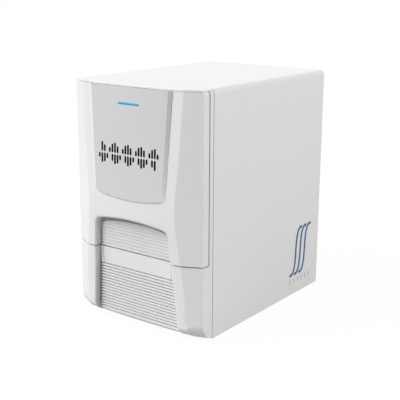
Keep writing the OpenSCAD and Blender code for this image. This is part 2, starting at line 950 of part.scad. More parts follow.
module belt_pulley() {
    cylinder(r = pulley_r, h = 9.6, center = true);
    for (z = [-4.8, 3.6])
        translate([0, 0, z]) cylinder(r = pulley_r + 2.6, h = 1.2);
}

module drive_pulley() {
    color(alloy) translate([belt_x, belt_y, rod_z]) {
        belt_pulley();
        cylinder(r = shaft_r, h = 20);
    }
}

module idler_pulley() {
    color(alloy) translate([-belt_x, belt_y, rod_z]) difference() {
        belt_pulley();
        cylinder(r = shaft_r + run_fit, h = 30, center = true);
    }
}

// Electronics

module board_shelf() {
    half = plate_x + plate_t;
    color(steel) difference() {
        span([-half, chassis_front + 8, shelf_z], [half, chassis_rear, shelf_z + 2]);
        for (y = [seam_y + 10 : 32 : seam_y + 170])
            span([-80, y, shelf_z - 1], [80, y + 18, shelf_z + 4]);
    }
}

module main_board() {
    low = shelf_z + 2;
    color(green) {
        for (x = [-86, 86], y = [seam_y + 2, seam_y + 174])
            translate([x, y, low]) cylinder(r = 3, h = 6);
        span([-92, seam_y - 4, low + 6], [92, seam_y + 180, low + 7.6]);
        for (k = [0 : 3])
            span([-80 + 42 * k, seam_y + 150, low + 7.6], [-50 + 42 * k, seam_y + 168, low + 20]);
        span([-30, seam_y + 60, low + 7.6], [10, seam_y + 100, low + 12]);
    }
}

module power_supply() {
    color(steel) difference() {
        span([-100, seam_y + 215, pan_z], [60, seam_y + 305, pan_z + 52]);
        span([-98.5, seam_y + 216.5, pan_z - 1], [58.5, seam_y + 303.5, pan_z + 50.5]);
        for (k = [0 : 9])
            span([-92 + 15 * k, seam_y + 225, pan_z + 48], [-84 + 15 * k, seam_y + 295, pan_z + 60]);
    }
}

// Plate tray

module tray_front() {
    lean = tan(lower_lean);
    deep = 8;
    color(white) along_x(-tray_half, tray_half) polygon([
        [rib_y - lean * (tray_low - foot_h), tray_low],
        [rib_y - lean * (tray_high - foot_h), tray_high],
        [rib_y - lean * (tray_low - foot_h) + deep, tray_high],
        [rib_y - lean * (tray_low - foot_h) + deep, tray_low]]);
}

module tray_frame() {
    front = rib_y - tan(lower_lean) * (tray_low - foot_h) + 8;
    rear = mid_y + 52;
    tail = seam_y + 177;
    nest_x = plate_l / 2 + 0.4;
    nest_y = plate_w / 2 + 0.5;
    color(dark) difference() {
        union() {
            span([-70, front, tray_z], [70, rear, tray_z + tray_t]);
            both_sides() {
                span([58, rear - 1, tray_z], [70, tail, tray_z + tray_t]);
                span([69, chassis_front + 2, ledge_z], [72, tail, ledge_z + 4]);
            }
            span([-60, seam_y + 111, tray_z], [60, seam_y + 119, tray_z + tray_t]);
        }
        translate([0, mid_y, 0]) {
            span([-nest_x, -nest_y, ledge_z], [nest_x, nest_y, far]);
            span([-59, -39, 0], [59, 39, far]);
        }
    }
}

module tray_nut() {
    near = seam_y + 156;
    top = tray_z + tray_t;
    color(brass) difference() {
        union() {
            span([59, near, top], [tray_screw_x + 6, near + 16, top + 3.5]);
            span([tray_screw_x - 6, near, tray_screw_z - 7], [tray_screw_x + 6, near + 16, top + 3.5]);
        }
        span([rail_x - 0.5, near - 1, tray_z], [rail_x + rail_w + 0.5, near + 17, top + 0.5]);
        translate([tray_screw_x, 0, tray_screw_z]) rod_y(screw_r + run_fit, near - 5, near + 25);
    }
}

// Lifting block with its heat sink

module lift_frame() {
    color(alloy) difference() {
        union() {
            span([-86, mid_y - 47, frame_z], [86, mid_y + 47, frame_z + frame_t]);
            span([lift_screw_x - 11, mid_y - 13, frame_z], [-80, mid_y + 13, frame_z + frame_t]);
            for (x = [-post_x, post_x], y = [-post_dy, post_dy])
                translate([x, mid_y + y, frame_z - 8]) cylinder(r = 8, h = 10);
        }
        span([-63, mid_y - 43.5, frame_z - 9], [63, mid_y + 43.5, frame_z + 20]);
        for (x = [-post_x, post_x], y = [-post_dy, post_dy])
            translate([x, mid_y + y, 0]) cylinder(r = screw_r + run_fit, h = far);
        translate([lift_screw_x, mid_y, 0]) cylinder(r = 7.1, h = far);
    }
}

module lift_nut() {
    color(brass) translate([lift_screw_x, mid_y, frame_z]) difference() {
        union() {
            translate([0, 0, -4]) cylinder(r = 10, h = 4);
            cylinder(r = 7, h = frame_t + 3);
        }
        translate([0, 0, -9]) cylinder(r = screw_r + run_fit, h = 40);
    }
}

module heat_sink() {
    fins = 16;
    base = 10;
    deep = 42;
    pitch = 7.7;
    color(alloy) {
        span([-66, mid_y - 46, sink_top - base], [66, mid_y + 46, sink_top]);
        for (k = [0 : fins - 1]) {
            x = (k - (fins - 1) / 2) * pitch;
            span([x - 1, mid_y - 43, sink_top - base - deep], [x + 1, mid_y + 43, sink_top - base]);
        }
    }
}

module peltier_modules() {
    color([0.9, 0.9, 0.88]) for (x = [-1, 0, 1], y = [-0.5, 0.5])
        translate([x * 37, mid_y + y * 36, sink_top + 1.8]) cube([35, 35, 3.6], center = true);
}

// Aluminium block with its tapered wells
module sample_block() {
    x = block_l / 2;
    y = block_w / 2;
    step = 2;
    color(alloy) difference() {
        translate([0, mid_y, block_low]) {
            span([-x, -y, 0], [x, y, 6]);
            span([-x + step, -y + step, 0], [x - step, y - step, block_top - block_low]);
        }
        well_grid() translate([0, 0, block_top - 14]) cylinder(r1 = 1.3, r2 = 2.9, h = 14.01, $fn = 24);
    }
}

module block_gasket() {
    x = block_l / 2 + 0.5;
    y = block_w / 2 + 0.5;
    color(dark) translate([0, mid_y, sink_top]) difference() {
        span([-x - 2.5, -y - 2.5, 0], [x + 2.5, y + 2.5, block_low + 5 - sink_top]);
        span([-x, -y, -1], [x, y, far]);
    }
}

module sink_fan_frame() {
    color(dark) translate([0, mid_y + 47, frame_z - 12]) fan_frame(60, 20);
}

module sink_fan_rotor() {
    color(dark) translate([0, mid_y + 47, frame_z - 12]) fan_rotor(60, 20, 7);
}

base_pan();
wrap_cover();
rear_panel();
lower_front_cover();
upper_front_cover();
rib_panel();
intake_grille();
fascia_panel();
vent_screen();
light_bar();
indicator_board();
feet();
case_screws();
side_plate_left();
side_plate_right();
block_deck();
guide_posts();
tray_rails();
tray_motor();
screw_bearing();
lift_motor();
lift_bush();
lid_frame();
lid_platen();
lid_heater();
scan_rods();
scan_brackets();
scan_motor();
scan_belt();
board_shelf();
main_board();
power_supply();
rear_fan_frame();
fan_guard();
power_inlet();
usb_port();
switch_frame();
tray_front();
tray_frame();
tray_nut();
tray_screw();
screw_coupling();
lift_frame();
heat_sink();
peltier_modules();
sample_block();
block_gasket();
lift_nut();
sink_fan_frame();
sink_fan_rotor();
lift_screw();
scan_carriage();
lens_tubes();
drive_pulley();
idler_pulley();
rear_fan_rotor();
power_rocker();
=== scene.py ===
"""Looks of a bench-top thermal cycler: finishes, eased casework, marks, hardware, light and camera."""
import json
import logging
import math
from dataclasses import dataclass
from enum import Enum
from functools import cache
from itertools import product
from typing import Any, Callable, ClassVar, Mapping, Sequence, Union

import bmesh
import bpy
from mathutils import Matrix, Vector

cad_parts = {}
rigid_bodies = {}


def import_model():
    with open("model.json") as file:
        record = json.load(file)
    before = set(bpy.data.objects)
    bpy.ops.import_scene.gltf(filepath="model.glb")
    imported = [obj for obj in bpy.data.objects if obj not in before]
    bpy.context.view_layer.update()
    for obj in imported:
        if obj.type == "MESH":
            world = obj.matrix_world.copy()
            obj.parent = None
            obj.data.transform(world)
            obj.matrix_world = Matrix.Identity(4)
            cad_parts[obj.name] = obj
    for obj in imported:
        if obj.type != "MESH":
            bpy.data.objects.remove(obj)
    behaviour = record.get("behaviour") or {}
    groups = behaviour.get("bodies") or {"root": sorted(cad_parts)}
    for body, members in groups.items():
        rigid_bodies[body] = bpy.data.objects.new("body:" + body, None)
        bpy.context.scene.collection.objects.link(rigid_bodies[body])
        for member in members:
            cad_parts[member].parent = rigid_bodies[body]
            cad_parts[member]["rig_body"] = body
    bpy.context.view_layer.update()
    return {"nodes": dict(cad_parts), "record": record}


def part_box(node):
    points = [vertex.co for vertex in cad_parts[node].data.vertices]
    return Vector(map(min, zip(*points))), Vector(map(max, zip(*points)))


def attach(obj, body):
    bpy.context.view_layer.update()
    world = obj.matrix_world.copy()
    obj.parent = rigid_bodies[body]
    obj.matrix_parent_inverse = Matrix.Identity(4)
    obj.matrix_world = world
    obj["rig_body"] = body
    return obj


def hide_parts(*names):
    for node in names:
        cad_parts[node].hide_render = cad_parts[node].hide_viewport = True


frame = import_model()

MM = 0.001
LOG = logging.getLogger("thermal_cycler")

Color = tuple[float, float, float]
Triple = tuple[float, float, float]
Value = Union["Wire", float, Sequence[float]]
EdgeTest = Callable[[bmesh.types.BMEdge], bool]
FaceTest = Callable[[bpy.types.MeshPolygon], bool]

WHITE = (1.0, 1.0, 1.0, 1.0)
# Points closer than this are one point
SAME_POINT = 0.002 * MM
# New pieces are shaded smooth across edges that bend less than this
SMOOTH_ANGLE = math.radians(35)
# A face looks along an axis if its normal has more than this share of it
FACING = 0.9


class Wire:
    """A shader socket that takes part in Python arithmetic."""

    def __init__(self, shader: "Shader", socket: bpy.types.NodeSocket) -> None:
        """Keep the socket and the shader that it belongs to."""
        self.shader = shader
        self.socket = socket

    def _math(self, operation: str, first: Value, second: Value) -> "Wire":
        """Add one Math node.

        Args:
            operation: Name of the Math node's operation.
            first: Left operand, a number or a wire.
            second: Right operand, a number or a wire.

        Returns:
            The wire that carries the result.
        """
        return self.shader.node("ShaderNodeMath", {"operation": operation}, {0: first, 1: second})

    def __add__(self, other: Value) -> "Wire":
        """Sum."""
        return self._math("ADD", self, other)

    def __radd__(self, other: Value) -> "Wire":
        """Sum with a number on the left."""
        return self._math("ADD", other, self)

    def __sub__(self, other: Value) -> "Wire":
        """Difference."""
        return self._math("SUBTRACT", self, other)

    def __rsub__(self, other: Value) -> "Wire":
        """Difference from a number."""
        return self._math("SUBTRACT", other, self)

    def __mul__(self, other: Value) -> "Wire":
        """Product."""
        return self._math("MULTIPLY", self, other)

    def __rmul__(self, other: Value) -> "Wire":
        """Product with a number on the left."""
        return self._math("MULTIPLY", other, self)


class Shader:
    """Node tree of one material or world, with one method that makes any node."""

    # The Mix node repeats its sockets' names for each kind of data, so its colours go by number
    MIX_A: ClassVar[int] = 6
    MIX_B: ClassVar[int] = 7
    MIX_OUT: ClassVar[int] = 2

    def __init__(self, owner: bpy.types.ID) -> None:
        """Take an owner's node tree and empty it.

        Args:
            owner: Material or world.
        """
        owner.use_nodes = True
        self.tree = owner.node_tree
        self.tree.nodes.clear()

    def node(
        self,
        kind: str,
        settings: Mapping[str, Any] | None = None,
        inputs: Mapping[Any, Value] | None = None,
        output: int | str = 0,
    ) -> Wire:
        """Add a node, set it up and link it.

        Args:
            kind: The node's type name.
            settings: Properties that are set first.
            inputs: Values or wires by socket name or number.
            output: Socket that the result is taken from.

        Returns:
            The chosen output, or the first input's wire for a node without outputs.
        """
        made = self.tree.nodes.new(kind)
        for name, value in (settings or {}).items():
            setattr(made, name, value)
        for name, value in (inputs or {}).items():
            if isinstance(value, Wire):
                self.tree.links.new(value.socket, made.inputs[name])
            else:
                made.inputs[name].default_value = value
        return Wire(self, made.outputs[output] if made.outputs else made.inputs[0])

    def coords(self, stretch: Triple = (1.0, 1.0, 1.0)) -> Wire:
        """Object coordinates in metres, stretched per axis.

        Args:
            stretch: Factor along X, Y and Z.

        Returns:
            The wire of the coordinates.
        """
        place = self.node("ShaderNodeTexCoord", output="Object")
        return self.node("ShaderNodeMapping", inputs={"Vector": place, "Scale": stretch})

    def noise(self, size: float, detail: float, stretch: Triple = (1.0, 1.0, 1.0)) -> Wire:
        """Soft noise from 0 to 1.

        Args:
            size: Rough size of one blot in metres.
            detail: Finer layers on top.
            stretch: Factor along X, Y and Z.

        Returns:
            The wire of the noise.
        """
        inputs = {"Vector": self.coords(stretch), "Scale": 1.0 / size, "Detail": detail}
        return self.node("ShaderNodeTexNoise", inputs=inputs)

    def mix(self, factor: Value, first: Value, second: Value) -> Wire:
        """Mix two colours.

        Args:
            factor: Share of the second colour.
            first: Colour at factor 0.
            second: Colour at factor 1.

        Returns:
            The wire of the mixed colour.
        """
        inputs = {0: factor, self.MIX_A: first, self.MIX_B: second}
        return self.node("ShaderNodeMix", {"data_type": "RGBA"}, inputs, self.MIX_OUT)


class Grain(Enum):
    """Fine pattern of a finish."""

    SPARK = "spark-eroded mould texture"
    PEEL = "powder coat peel"
    FLAKE = "metallic lacquer flake"
    BRUSH = "brushing along one axis"
    TURNED = "fine isotropic machining"
    TRACKS = "circuit tracks under solder mask"
    MEANDER = "etched heater track"


@dataclass(frozen=True)
class Finish:
    """One finish: its colour, gloss and fine pattern."""

    slot: str
    color: Color
    roughness: float
    grain: Grain
    grain_size: float
    grain_depth: float = 0.02 * MM
    metallic: float = 0.0
    tint: Color = (0.0, 0.0, 0.0)
    tint_share: float = 0.0
    gloss_spread: float = 0.1
    coat: float = 0.0
    coat_roughness: float = 0.2
    specular: float = 0.5
    glow: float = 0.0

    BLOT_SIZE: ClassVar[float] = 60 * MM
    BLOT_DETAIL: ClassVar[float] = 3.0
    GRAIN_SHARE: ClassVar[float] = 0.6
    GLOW_TINT: ClassVar[float] = 0.1
    GRAIN_DETAIL: ClassVar[float] = 4.0
    PEEL_DETAIL: ClassVar[float] = 1.0
    PEEL_COARSE: ClassVar[float] = 0.7
    PEEL_FINE_SIZE: ClassVar[float] = 0.3
    BRUSH_DETAIL: ClassVar[float] = 3.0
    BRUSH_STRETCH: ClassVar[Triple] = (0.02, 1.0, 1.0)
    TRACK_GAP: ClassVar[float] = 0.06
    # Length of one wave of the Wave texture at scale 1
    WAVE_LENGTH: ClassVar[float] = 0.314
    WAVE_WANDER: ClassVar[float] = 0.4

    def build(self) -> bpy.types.Material:
        """Make the material.

        Returns:
            A material named after the finish's slot.
        """
        material = bpy.data.materials.new(self.slot)
        shader = Shader(material)
        color = (*self.color, 1.0)
        tint = (*self.tint, 1.0)
        grain = self._pattern(shader)
        blot = shader.noise(self.BLOT_SIZE, self.BLOT_DETAIL)
        share = (grain * self.GRAIN_SHARE + blot * (1.0 - self.GRAIN_SHARE)) * self.tint_share
        bump = shader.node(
            "ShaderNodeBump",
            inputs={"Strength": 1.0, "Distance": self.grain_depth, "Height": grain},
        )
        body = {
            "Base Color": shader.mix(share, color, tint),
            "Roughness": self.roughness + (grain + blot - 1.0) * (self.gloss_spread / 2),
            "Metallic": self.metallic,
            "Normal": bump,
            "Coat Weight": self.coat,
            "Coat Roughness": self.coat_roughness,
            "Specular IOR Level": self.specular,
        }
        if self.glow:
            body["Emission Color"] = shader.mix(blot * self.GLOW_TINT, color, tint)
            body["Emission Strength"] = self.glow
        bsdf = shader.node("ShaderNodeBsdfPrincipled", inputs=body)
        shader.node("ShaderNodeOutputMaterial", inputs={"Surface": bsdf})
        return material

    def _pattern(self, shader: Shader) -> Wire:
        """Height of the fine pattern.

        Args:
            shader: Tree that the nodes go into.

        Returns:
            A wire from 0 to 1.
        """
        size = self.grain_size
        if self.grain is Grain.PEEL:
            coarse = shader.noise(size, self.PEEL_DETAIL)
            fine = shader.noise(size * self.PEEL_FINE_SIZE, self.PEEL_DETAIL)
            return coarse * self.PEEL_COARSE + fine * (1.0 - self.PEEL_COARSE)
        if self.grain is Grain.FLAKE:
            inputs = {"Vector": shader.coords(), "Scale": 1.0 / size}
            cell = shader.node("ShaderNodeTexVoronoi", inputs=inputs, output="Color")
            return shader.node("ShaderNodeSeparateColor", inputs={0: cell})
        if self.grain is Grain.BRUSH:
            return shader.noise(size, self.BRUSH_DETAIL, self.BRUSH_STRETCH)
        if self.grain is Grain.TRACKS:
            inputs = {"Vector": shader.coords(), "Scale": 1.0 / size, "Mortar Size": self.TRACK_GAP}
            return shader.node("ShaderNodeTexBrick", inputs=inputs, output="Fac")
        if self.grain is Grain.MEANDER:
            settings = {"bands_direction": "X", "wave_profile": "SIN"}
            scale = self.WAVE_LENGTH / size
            inputs = {"Vector": shader.coords(), "Scale": scale, "Distortion": self.WAVE_WANDER}
            return shader.node("ShaderNodeTexWave", settings, inputs, "Fac")
        return shader.noise(size, self.GRAIN_DETAIL)


FINISHES = (
    Finish("case_metal", (0.80, 0.80, 0.795), 0.46, Grain.PEEL, 1.4 * MM,
           tint=(0.74, 0.745, 0.75), tint_share=0.25),
    Finish("case_plastic", (0.80, 0.80, 0.795), 0.44, Grain.SPARK, 0.5 * MM,
           tint=(0.74, 0.745, 0.75), tint_share=0.25),
    Finish("grey_panel", (0.68, 0.68, 0.685), 0.28, Grain.FLAKE, 0.12 * MM, 0.004 * MM,
           metallic=0.3, tint=(0.52, 0.52, 0.525), tint_share=0.3, gloss_spread=0.06),
    Finish("dark_plastic", (0.022, 0.022, 0.024), 0.5, Grain.SPARK, 0.6 * MM,
           tint=(0.05, 0.05, 0.052), tint_share=0.5, specular=0.3),
    Finish("blue_light", (0.004, 0.36, 0.64), 0.25, Grain.SPARK, 0.8 * MM,
           tint=(0.02, 0.5, 0.8), tint_share=0.2, specular=0.1, glow=0.18),
    Finish("circuit_board", (0.015, 0.12, 0.045), 0.4, Grain.TRACKS, 9 * MM, 0.05 * MM,
           tint=(0.06, 0.3, 0.12), tint_share=0.9, coat=0.3),
    Finish("foot_rubber", (0.03, 0.03, 0.032), 0.75, Grain.SPARK, 0.9 * MM, 0.05 * MM,
           tint=(0.07, 0.07, 0.07), tint_share=0.5),
    Finish("plated_steel", (0.60, 0.61, 0.62), 0.38, Grain.BRUSH, 0.5 * MM, 0.01 * MM,
           metallic=1.0, tint=(0.46, 0.47, 0.49), tint_share=0.6, gloss_spread=0.2),
    Finish("motor_black", (0.03, 0.03, 0.032), 0.42, Grain.PEEL, 1.0 * MM,
           metallic=0.2, tint=(0.06, 0.06, 0.06), tint_share=0.5),
    Finish("aluminium", (0.74, 0.75, 0.76), 0.36, Grain.TURNED, 0.4 * MM, 0.01 * MM,
           metallic=1.0, tint=(0.6, 0.61, 0.63), tint_share=0.6, gloss_spread=0.16),
    Finish("brass", (0.70, 0.52, 0.22), 0.3, Grain.TURNED, 0.4 * MM, 0.01 * MM,
           metallic=1.0, tint=(0.55, 0.38, 0.14), tint_share=0.6, gloss_spread=0.16),
    Finish("heater_film", (0.50, 0.20, 0.04), 0.35, Grain.MEANDER, 3 * MM, 0.03 * MM,
           tint=(0.25, 0.09, 0.02), tint_share=0.9, coat=0.2),
    Finish("cooler_ceramic", (0.80, 0.80, 0.77), 0.55, Grain.SPARK, 0.4 * MM,
           tint=(0.7, 0.7, 0.67), tint_share=0.4),
)
RIB_PLASTIC = Finish("rib_plastic", (0.72, 0.72, 0.715), 0.5, Grain.SPARK, 0.5 * MM,
                     tint=(0.66, 0.665, 0.67), tint_share=0.25)
# Lighter copy of the grey panel's finish for the panel's bevel faces: a painted highlight that brightens
# the panel's edges
PANEL_BEVEL_PAINTED_HIGHLIGHT = Finish("panel_bevel", (0.88, 0.88, 0.885), 0.3, Grain.FLAKE, 0.12 * MM, 0.004 * MM,
                     metallic=0.35, tint=(0.8, 0.8, 0.805), tint_share=0.3, gloss_spread=0.06)
MOTIF_BLUE = Finish("motif_blue", (0.008, 0.072, 0.21), 0.5, Grain.SPARK, 0.4 * MM, 0.005 * MM,
                    tint=(0.012, 0.086, 0.24), tint_share=0.4)
MOTIF_GREY = Finish("motif_grey", (0.46, 0.465, 0.47), 0.5, Grain.SPARK, 0.4 * MM, 0.005 * MM,
                    tint=(0.40, 0.405, 0.41), tint_share=0.4)


class Paints:
    """The finishes as materials, by slot."""

    def __init__(self) -> None:
        """Build every finish and note each node's slot."""
        finishes = (*FINISHES, RIB_PLASTIC, PANEL_BEVEL_PAINTED_HIGHLIGHT, MOTIF_BLUE, MOTIF_GREY)
        self.materials = {finish.slot: finish.build() for finish in finishes}
        self.slots = {part["node"]: part["material_slot"] for part in frame["record"]["subparts"]}

    def dress(self, piece: bpy.types.Object, slot: str) -> None:
        """Give a piece one finish all over."""
        piece.data.materials.clear()
        piece.data.materials.append(self.materials[slot])

    def touch_up(self, piece: bpy.types.Object, slot: str, test: FaceTest) -> None:
        """Give the faces that a test picks another finish.

        Args:
            piece: Dressed mesh object.
            slot: Slot of the other finish.
            test: Tells which faces get it.
        """
        piece.data.materials.append(self.materials[slot])
        last = len(piece.data.materials) - 1
        for side in piece.data.polygons:
            if test(side):
                side.material_index = last

    def dress_nodes(self) -> None:
        """Give every CAD node its slot's finish."""
        for name, piece in frame["nodes"].items():
            self.dress(piece, self.slots[name])


def only(piece: bpy.types.Object) -> None:
    """Select one object and make it active.

    Args:
        piece: The object.
    """
    bpy.ops.object.select_all(action="DESELECT")
    piece.select_set(True)
    bpy.context.view_layer.objects.active = piece


def add(primitive: Callable[..., Any], **settings: Any) -> bpy.types.Object:
    """Add a primitive, with nothing else selected.

    Args:
        primitive: The operator that adds it.
        settings: Its size and place.

    Returns:
        The new object.
    """
    bpy.ops.object.select_all(action="DESELECT")
    primitive(**settings)
    return bpy.context.active_object


def apply_modifier(piece: bpy.types.Object, kind: str, **settings: Any) -> None:
    """Add a modifier, set it and apply it.

    Args:
        piece: Mesh object to change.
        kind: Modifier type.
        settings: Properties of the modifier.
    """
    only(piece)
    modifier = piece.modifiers.new(kind.lower(), kind)
    for name, value in settings.items():
        setattr(modifier, name, value)
    bpy.ops.object.modifier_apply(modifier=modifier.name)


def settle(piece: bpy.types.Object) -> None:
    """Bake a piece's place into its mesh, so that its object sits at the origin."""
    only(piece)
    bpy.ops.object.transform_apply(location=True, rotation=True, scale=True)


def weld(piece: bpy.types.Object) -> None:
    """Merge the points of a piece that lie on each other.

    Args:
        piece: Mesh object to change.
    """
    only(piece)
    bpy.ops.object.mode_set(mode="EDIT")
    bpy.ops.mesh.select_all(action="SELECT")
    bpy.ops.mesh.remove_doubles(threshold=SAME_POINT)
    bpy.ops.object.mode_set(mode="OBJECT")


def join(pieces: Sequence[bpy.types.Object]) -> bpy.types.Object:
    """Join mesh objects into the first of them.

    Args:
        pieces: The objects, two or more.

    Returns:
        The first object, which now holds them all.
    """
    bpy.ops.object.select_all(action="DESELECT")
    for piece in pieces:
        piece.select_set(True)
    bpy.context.view_layer.objects.active = pieces[0]
    bpy.ops.object.join()
    return pieces[0]


def copy_of(model: bpy.types.Object) -> bpy.types.Object:
    """Copy a piece, with a mesh of its own.

    Args:
        model: Piece modelled once.

    Returns:
        The copy, in the same place.
    """
    twin = model.copy()
    twin.data = model.data.copy()
    bpy.context.scene.collection.objects.link(twin)
    return twin


def repeat(model: bpy.types.Object, step: Triple, count: int) -> bpy.types.Object:
    """Copy a piece along a row and join the row.

    Args:
        model: Piece modelled once, in the row's first place.
        step: Move from each place to the next.
        count: How many pieces the row has.

    Returns:
        The whole row as one piece.
    """
    row = [model]
    for place in range(1, count):
        twin = copy_of(model)
        twin.location += place * Vector(step)
        row.append(twin)
    return join(row)


def bake(piece: bpy.types.Object, name: str, paints: Paints, finish: str, body: str) -> bpy.types.Object:
    """Name, paint and place a finished piece.

    Args:
        piece: Mesh object, placed but not yet baked.
        name: Name that it gets.
        paints: Finishes by slot.
        finish: Slot of its finish.
        body: Body that it rides on.

    Returns:
        The same piece, at the origin.
    """
    settle(piece)
    piece.name = name
    bpy.ops.object.shade_smooth_by_angle(angle=SMOOTH_ANGLE)
    paints.dress(piece, finish)
    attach(piece, body)
    LOG.info("built %s: %d faces", name, len(piece.data.polygons))
    return piece


@cache
def box_of(node: str) -> tuple[Vector, Vector]:
    """Lowest and highest corner of a CAD node, measured once."""
    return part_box(node)


def body_of(node: str) -> str:
    """Name of the body that a CAD node rides on."""
    return frame["nodes"][node]["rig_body"]


@dataclass
class EasedNode:
    """A CAD node whose edges are eased as a mould or a bent sheet leaves them."""

    node: str
    width: float
    segments: int = 2
    rim: EdgeTest | None = None
    rim_width: float = 0.0
    keep: EdgeTest | None = None

    SHARP: ClassVar[float] = math.radians(20)
    FLAT: ClassVar[float] = math.radians(0.4)
    RIM_SEGMENTS: ClassVar[int] = 5
    RIM_GATHER: ClassVar[float] = 2.2 * MM
    NORMAL_WEIGHT: ClassVar[int] = 60

    def build(self, paints: Paints) -> bpy.types.Object:
        """Copy the node, ease its edges and put the copy in its place.

        Args:
            paints: Finishes by slot.

        Returns:
            The eased piece.
        """
        source = frame["nodes"][self.node]
        piece = bpy.data.objects.new(self.node + "_eased", source.data.copy())
        bpy.context.scene.collection.objects.link(piece)
        self._merge(piece)
        if self.rim:
            self._gather(piece, self.rim)
            self._bevel(piece, self.rim_width, self.RIM_SEGMENTS, self.rim, clamp=False)
        self._bevel(piece, self.width, self.segments, self._eased, clamp=True)
        only(piece)
        bpy.ops.object.shade_smooth_by_angle(angle=self.SHARP)
        apply_modifier(piece, "WEIGHTED_NORMAL", keep_sharp=True, weight=self.NORMAL_WEIGHT)
        slot = paints.slots[self.node]
        paints.dress(piece, slot)
        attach(piece, body_of(self.node))
        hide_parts(self.node)
        LOG.info("eased %s: %d faces", self.node, len(piece.data.polygons))
        return piece

    def _merge(self, piece: bpy.types.Object) -> None:
        """Join the loose triangles and clear the lines across flat faces.

        Args:
            piece: Mesh object to change.
        """
        only(piece)
        bpy.ops.object.mode_set(mode="EDIT")
        bpy.ops.mesh.select_all(action="SELECT")
        bpy.ops.mesh.customdata_custom_splitnormals_clear()
        bpy.ops.mesh.remove_doubles(threshold=SAME_POINT)
        bpy.ops.mesh.dissolve_limited(angle_limit=self.FLAT)
        bpy.ops.object.mode_set(mode="OBJECT")

    def _gather(self, piece: bpy.types.Object, test: EdgeTest) -> None:
        """Merge the close points along a rim, so that a wide rounding fits between them.

        Args:
            piece: Mesh object to change.
            test: Tells which edges are the rim.
        """
        self._pick(piece, test)
        bpy.ops.mesh.remove_doubles(threshold=self.RIM_GATHER)
        bpy.ops.object.mode_set(mode="OBJECT")

    def _eased(self, edge: bmesh.types.BMEdge) -> bool:
        """Tell whether an edge is sharp, stands out and is free to be eased."""
        sharp = edge.is_convex and edge.calc_face_angle(0.0) > self.SHARP
        return sharp and not (self.keep and self.keep(edge))

    @staticmethod
    def _pick(piece: bpy.types.Object, test: EdgeTest) -> int:
        """Enter edit mode and select the edges that a test picks.

        Args:
            piece: Mesh object to look through.
            test: Tells which edges are selected.

        Returns:
            How many edges were selected.
        """
        only(piece)
        bpy.ops.object.mode_set(mode="EDIT")
        bpy.ops.mesh.select_mode(type="EDGE")
        bpy.ops.mesh.select_all(action="DESELECT")
        mesh = bmesh.from_edit_mesh(piece.data)
        mesh.normal_update()
        picked = [edge for edge in mesh.edges if test(edge)]
        for edge in picked:
            edge.select_set(True)
        bmesh.update_edit_mesh(piece.data)
        return len(picked)

    def _bevel(
        self,
        piece: bpy.types.Object,
        width: float,
        segments: int,
        test: EdgeTest,
        clamp: bool,
    ) -> None:
        """Round the edges that a test picks.

        Args:
            piece: Mesh object to change.
            width: Width of the rounding.
            segments: Faces across it.
            test: Tells which edges are rounded.
            clamp: Whether neighbouring edges limit the width.
        """
        count = self._pick(piece, test)
        bpy.ops.mesh.bevel(offset=width, segments=segments, affect="EDGES", clamp_overlap=clamp)
        bpy.ops.object.mode_set(mode="OBJECT")
        LOG.info("%s: %d edges rounded by %.2f mm", self.node, count, width / MM)


def middle_of(edge: bmesh.types.BMEdge) -> Vector:
    """Middle of an edge."""
    return (edge.verts[0].co + edge.verts[1].co) / 2


